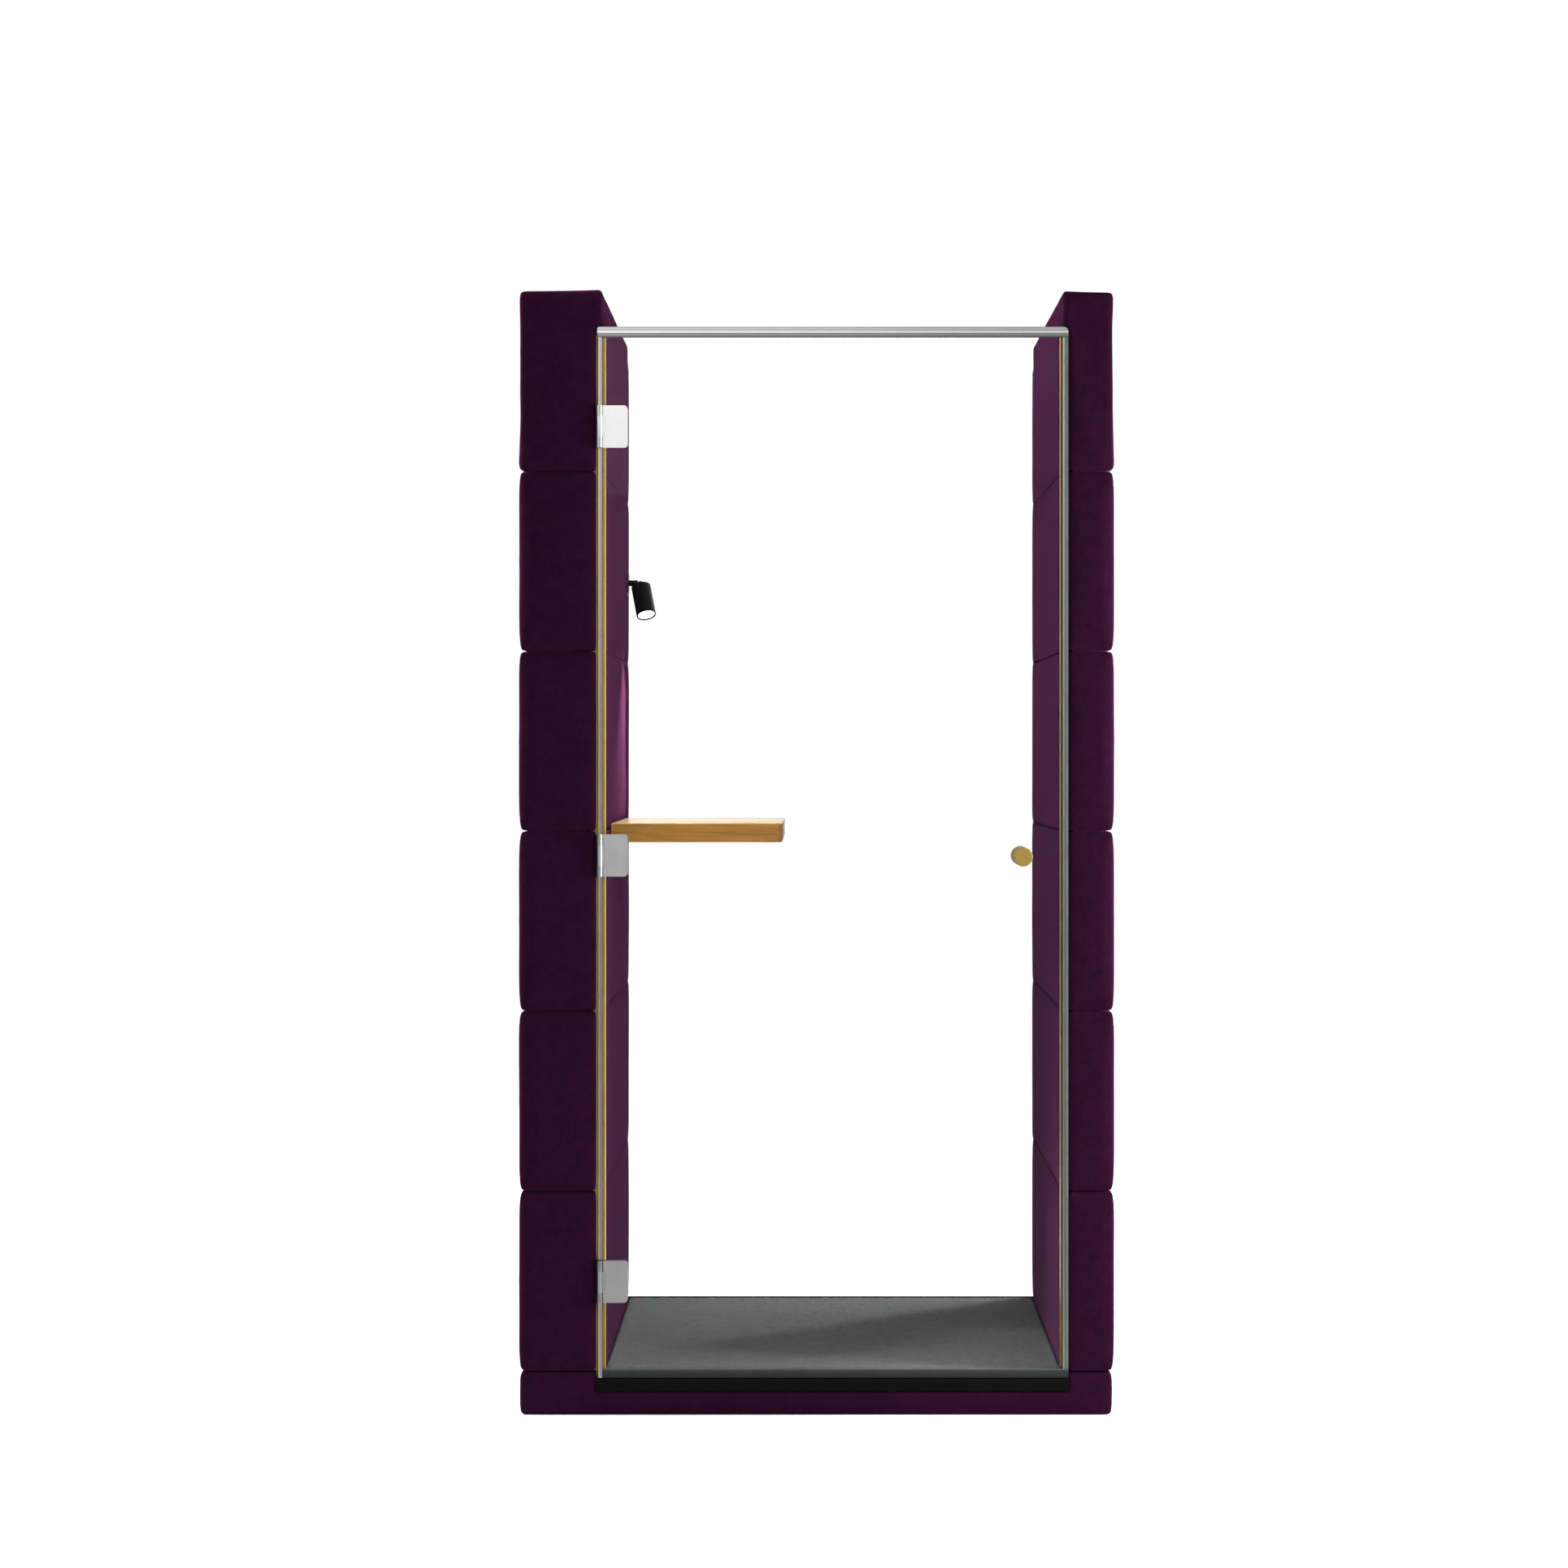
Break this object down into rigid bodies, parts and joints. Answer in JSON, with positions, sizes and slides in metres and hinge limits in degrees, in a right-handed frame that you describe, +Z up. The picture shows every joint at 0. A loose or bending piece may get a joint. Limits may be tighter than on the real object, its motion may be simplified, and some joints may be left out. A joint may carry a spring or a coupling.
{
  "type": "telephone booth",
  "caption": "Upholstered indoor telephone booth with stacked block walls, a hinged glass door, a fixed rear pane, an oak shelf table and a tilting wall spot lamp.",
  "frame": {"origin": "on the floor, under the middle of the booth's footprint", "axes": "+X to the right seen from the door, +Y from the door to the rear pane, +Z up"},
  "size_m": [1.154, 1.0503, 2.1847],
  "materials": {
    "wool_felt": "dark aubergine wool felt, fine diagonal weave, matt",
    "carpet": "dark grey needle felt carpet",
    "plywood": "birch plywood, unfinished",
    "oak": "oiled oak, satin",
    "black_metal": "black anodised, satin",
    "satin_aluminium": "satin anodised",
    "satin_steel": "satin stainless steel",
    "bright_steel": "turned steel",
    "glass": "clear toughened glass",
    "grey_seal": "grey-green soft seal",
    "dark_seal": "dark translucent seal, slightly glossy",
    "magnetic_rubber": "magnetic rubber strip, matt",
    "lamp_black": "matt black powder coat",
    "lamp_lens": "frosted, lit warm white",
    "led_module": "finned heat sink",
    "driver_case": "white moulded case"
  },
  "bodies": {
    "booth": {"base_plinth": "wool_felt", "floor_deck": "plywood", "floor_carpet": "carpet", "door_threshold": "black_metal", "left_module_1": "wool_felt", "right_module_1": "wool_felt", "left_module_2": "wool_felt", "right_module_2": "wool_felt", "left_module_3": "wool_felt", "right_module_3": "wool_felt", "left_module_4": "wool_felt", "right_module_4": "wool_felt", "left_module_5": "wool_felt", "right_module_5": "wool_felt", "left_module_6": "wool_felt", "right_module_6": "wool_felt", "left_spine": "plywood", "right_spine": "plywood", "left_jamb": "oak", "right_jamb": "oak", "strike_strip": "magnetic_rubber", "hinge_top_fixed_leaf": "satin_steel", "hinge_top_pin": "bright_steel", "hinge_middle_fixed_leaf": "satin_steel", "hinge_middle_pin": "bright_steel", "hinge_bottom_fixed_leaf": "satin_steel", "hinge_bottom_pin": "bright_steel", "rear_glass": "glass", "rear_channel": "black_metal", "rear_left_profile": "satin_aluminium", "rear_right_profile": "satin_aluminium", "table_top": "oak", "table_rod_front": "bright_steel", "table_rod_back": "bright_steel", "lamp_wall_plate": "lamp_black", "lamp_driver": "driver_case"},
    "door": {"door_glass": "glass", "door_top_rail": "satin_aluminium", "door_bottom_seal": "dark_seal", "door_hinge_profile": "satin_aluminium", "door_latch_profile": "satin_aluminium", "door_latch_seal": "grey_seal", "door_magnet_strip": "magnetic_rubber", "knob_outer": "oak", "knob_inner": "oak", "knob_bolt": "bright_steel", "hinge_top_door_plate": "satin_steel", "hinge_top_clamp_plate": "satin_steel", "hinge_middle_door_plate": "satin_steel", "hinge_middle_clamp_plate": "satin_steel", "hinge_bottom_door_plate": "satin_steel", "hinge_bottom_clamp_plate": "satin_steel"},
    "lamp_arm": {"lamp_arm": "lamp_black", "lamp_pivot_pin": "bright_steel"},
    "lamp_head": {"lamp_head": "lamp_black", "lamp_bezel": "lamp_black", "lamp_lens": "lamp_lens", "lamp_led_module": "led_module"}
  },
  "joints": [
    {"name": "door_swing", "type": "hinge", "parent": "booth", "child": "door", "pos_m": [-0.4195, -0.505, 1.0875], "axis": [0, 0, -1], "range_deg": [0, 110]},
    {"name": "lamp_swivel", "type": "hinge", "parent": "booth", "child": "lamp_arm", "pos_m": [-0.381, 0.35, 1.655], "axis": [1, 0, 0], "range_deg": [-140, 190]},
    {"name": "lamp_tilt", "type": "hinge", "parent": "lamp_arm", "child": "lamp_head", "pos_m": [-0.381, 0.34864, 1.65233], "axis": [0, -0.891, 0.454], "range_deg": [-10, 75]}
  ]
}
